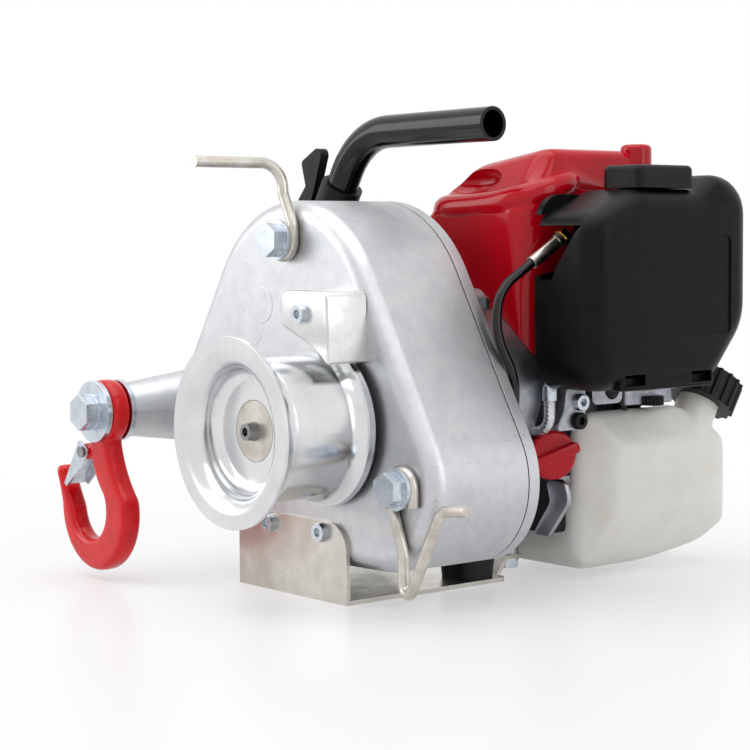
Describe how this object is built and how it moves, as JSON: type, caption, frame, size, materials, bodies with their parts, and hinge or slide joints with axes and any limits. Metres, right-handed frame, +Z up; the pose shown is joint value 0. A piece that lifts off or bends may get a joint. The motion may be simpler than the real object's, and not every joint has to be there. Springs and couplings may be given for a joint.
{
  "type": "portable cable puller",
  "caption": "Petrol-engined portable capstan winch with a cast gear case, flared rope drum, anchor hook, rope guides, sheet foot and carry handle.",
  "frame": {"origin": "on the floor under the drum axis, in the plane of the gear case's front face", "axes": "+X from the hook to the air cleaner, +Y along the drum axis to the engine, +Z up"},
  "size_m": [0.3056, 0.3403, 0.266],
  "materials": {
    "cast_aluminium": "sand-cast, satin",
    "machined_aluminium": "turned",
    "gear_steel": "cut, oiled",
    "zinc_steel": "zinc plated",
    "red_paint": "gloss enamel",
    "black_paint": "semi-gloss",
    "black_plastic": "moulded",
    "red_plastic": "moulded gloss",
    "tank_plastic": "translucent, moulded",
    "rubber": "moulded",
    "gasket_fibre": "pressed fibre",
    "foam": "open-cell foam",
    "muffler_steel": "heat-tinted"
  },
  "bodies": {
    "chassis": {"gear_housing": "cast_aluminium", "rear_cover": "cast_aluminium", "case_gasket": "gasket_fibre", "gear_bearings": "gear_steel", "drum_seal": "rubber", "upper_rope_guide": "zinc_steel", "lower_rope_guide": "zinc_steel", "guide_bolts": "zinc_steel", "guide_block": "zinc_steel", "front_screws": "zinc_steel", "hook_washers": "zinc_steel", "hook_bolt": "zinc_steel", "base_bracket": "zinc_steel", "base_buffer": "rubber", "handle_tube": "black_paint", "case_bolts": "zinc_steel", "throttle_bracket": "black_plastic", "throttle_cable": "rubber", "cable_adjuster": "zinc_steel", "crankcase": "cast_aluminium", "cylinder": "cast_aluminium", "spark_plug": "zinc_steel", "lower_shroud": "red_plastic", "top_cover": "red_plastic", "starter_case": "black_plastic", "muffler": "muffler_steel", "muffler_guard": "black_paint", "carburettor": "cast_aluminium", "air_cleaner_base": "black_plastic", "air_filter": "foam", "fuel_tank": "tank_plastic", "tank_mount": "rubber", "engine_bracket": "black_paint"},
    "drum_body": {"drum": "machined_aluminium", "drum_washer": "zinc_steel", "drum_bolt": "zinc_steel", "drum_shaft": "gear_steel", "drum_key": "gear_steel", "drum_gear": "gear_steel"},
    "second_stage": {"second_shaft": "gear_steel", "second_gear": "gear_steel"},
    "first_stage": {"first_shaft": "gear_steel", "first_gear": "gear_steel"},
    "clutch_output": {"input_pinion": "gear_steel", "clutch_drum": "gear_steel"},
    "crank_body": {"crankshaft": "gear_steel", "clutch_shoes": "gear_steel", "flywheel": "machined_aluminium"},
    "hook_body": {"hook": "red_paint", "latch_pin": "zinc_steel"},
    "latch_body": {"hook_latch": "zinc_steel"},
    "lever_body": {"throttle_lever": "black_plastic"},
    "choke_body": {"choke_lever": "black_plastic"},
    "primer_body": {"primer_bulb": "rubber"},
    "grip_body": {"starter_grip": "black_plastic"},
    "cleaner_cover_body": {"air_cleaner_cover": "black_plastic"},
    "cover_latch_body": {"cover_latch": "black_plastic"},
    "fuel_cap_body": {"fuel_cap": "black_plastic"},
    "oil_cap_body": {"oil_cap": "red_plastic"}
  },
  "joints": [
    {"name": "drum_spin", "type": "hinge", "parent": "chassis", "child": "drum_body", "pos_m": [0, 0, 0.0955], "axis": [0, 1, 0], "continuous": true},
    {"name": "second_shaft_spin", "type": "hinge", "parent": "chassis", "child": "second_stage", "pos_m": [-0.06127, 0, 0.11401], "axis": [0, 1, 0], "continuous": true},
    {"name": "first_shaft_spin", "type": "hinge", "parent": "chassis", "child": "first_stage", "pos_m": [-0.02317, 0, 0.15228], "axis": [0, 1, 0], "continuous": true},
    {"name": "clutch_drum_spin", "type": "hinge", "parent": "chassis", "child": "clutch_output", "pos_m": [0.002, 0, 0.112], "axis": [0, 1, 0], "continuous": true},
    {"name": "crank_spin", "type": "hinge", "parent": "chassis", "child": "crank_body", "pos_m": [0.002, 0, 0.112], "axis": [0, 1, 0], "continuous": true},
    {"name": "hook_swing", "type": "hinge", "parent": "chassis", "child": "hook_body", "pos_m": [-0.136, -0.056, 0.098], "axis": [0, 1, 0], "range_deg": [-60, 150]},
    {"name": "latch_swing", "type": "hinge", "parent": "hook_body", "child": "latch_body", "pos_m": [-0.15101, -0.056, 0.07385], "axis": [0, -1, 0], "range_deg": [0, 30], "stiffness_Nm_per_rad": 0.05, "springref_deg": -17.19},
    {"name": "throttle_turn", "type": "hinge", "parent": "chassis", "child": "lever_body", "pos_m": [-0.128, 0.08, 0.209], "axis": [0, -1, 0], "range_deg": [0, 60]},
    {"name": "choke_turn", "type": "hinge", "parent": "chassis", "child": "choke_body", "pos_m": [0.046, 0.142, 0.116], "axis": [0, 1, 0], "range_deg": [0, 60]},
    {"name": "primer_press", "type": "slide", "parent": "chassis", "child": "primer_body", "axis": [-1, 0, 0], "range_m": [0, 0.003], "stiffness_N_per_m": 400},
    {"name": "starter_pull", "type": "slide", "parent": "chassis", "child": "grip_body", "axis": [-0.7071, 0, 0.7071], "range_m": [0, 0.5], "stiffness_N_per_m": 20},
    {"name": "cleaner_cover_open", "type": "hinge", "parent": "chassis", "child": "cleaner_cover_body", "pos_m": [0.058, 0.16, 0.112], "axis": [0, 1, 0], "range_deg": [0, 45]},
    {"name": "cover_latch_lift", "type": "hinge", "parent": "cleaner_cover_body", "child": "cover_latch_body", "pos_m": [0.066, 0.16, 0.2213], "axis": [0, -1, 0], "range_deg": [0, 18], "stiffness_Nm_per_rad": 0.5},
    {"name": "fuel_cap_turn", "type": "hinge", "parent": "chassis", "child": "fuel_cap_body", "pos_m": [0.049, 0.23, 0.084], "axis": [0, 0.5299, 0.848], "range_deg": [0, 360]},
    {"name": "oil_cap_turn", "type": "hinge", "parent": "chassis", "child": "oil_cap_body", "pos_m": [0.042, 0.122, 0.074], "axis": [0.9397, -0.342, 0], "range_deg": [0, 360]}
  ],
  "couplings": [
    {"joint": "second_shaft_spin", "follows": "drum_spin", "ratio": -4.3333},
    {"joint": "first_shaft_spin", "follows": "drum_spin", "ratio": 21.667},
    {"joint": "clutch_drum_spin", "follows": "drum_spin", "ratio": -95.952}
  ]
}
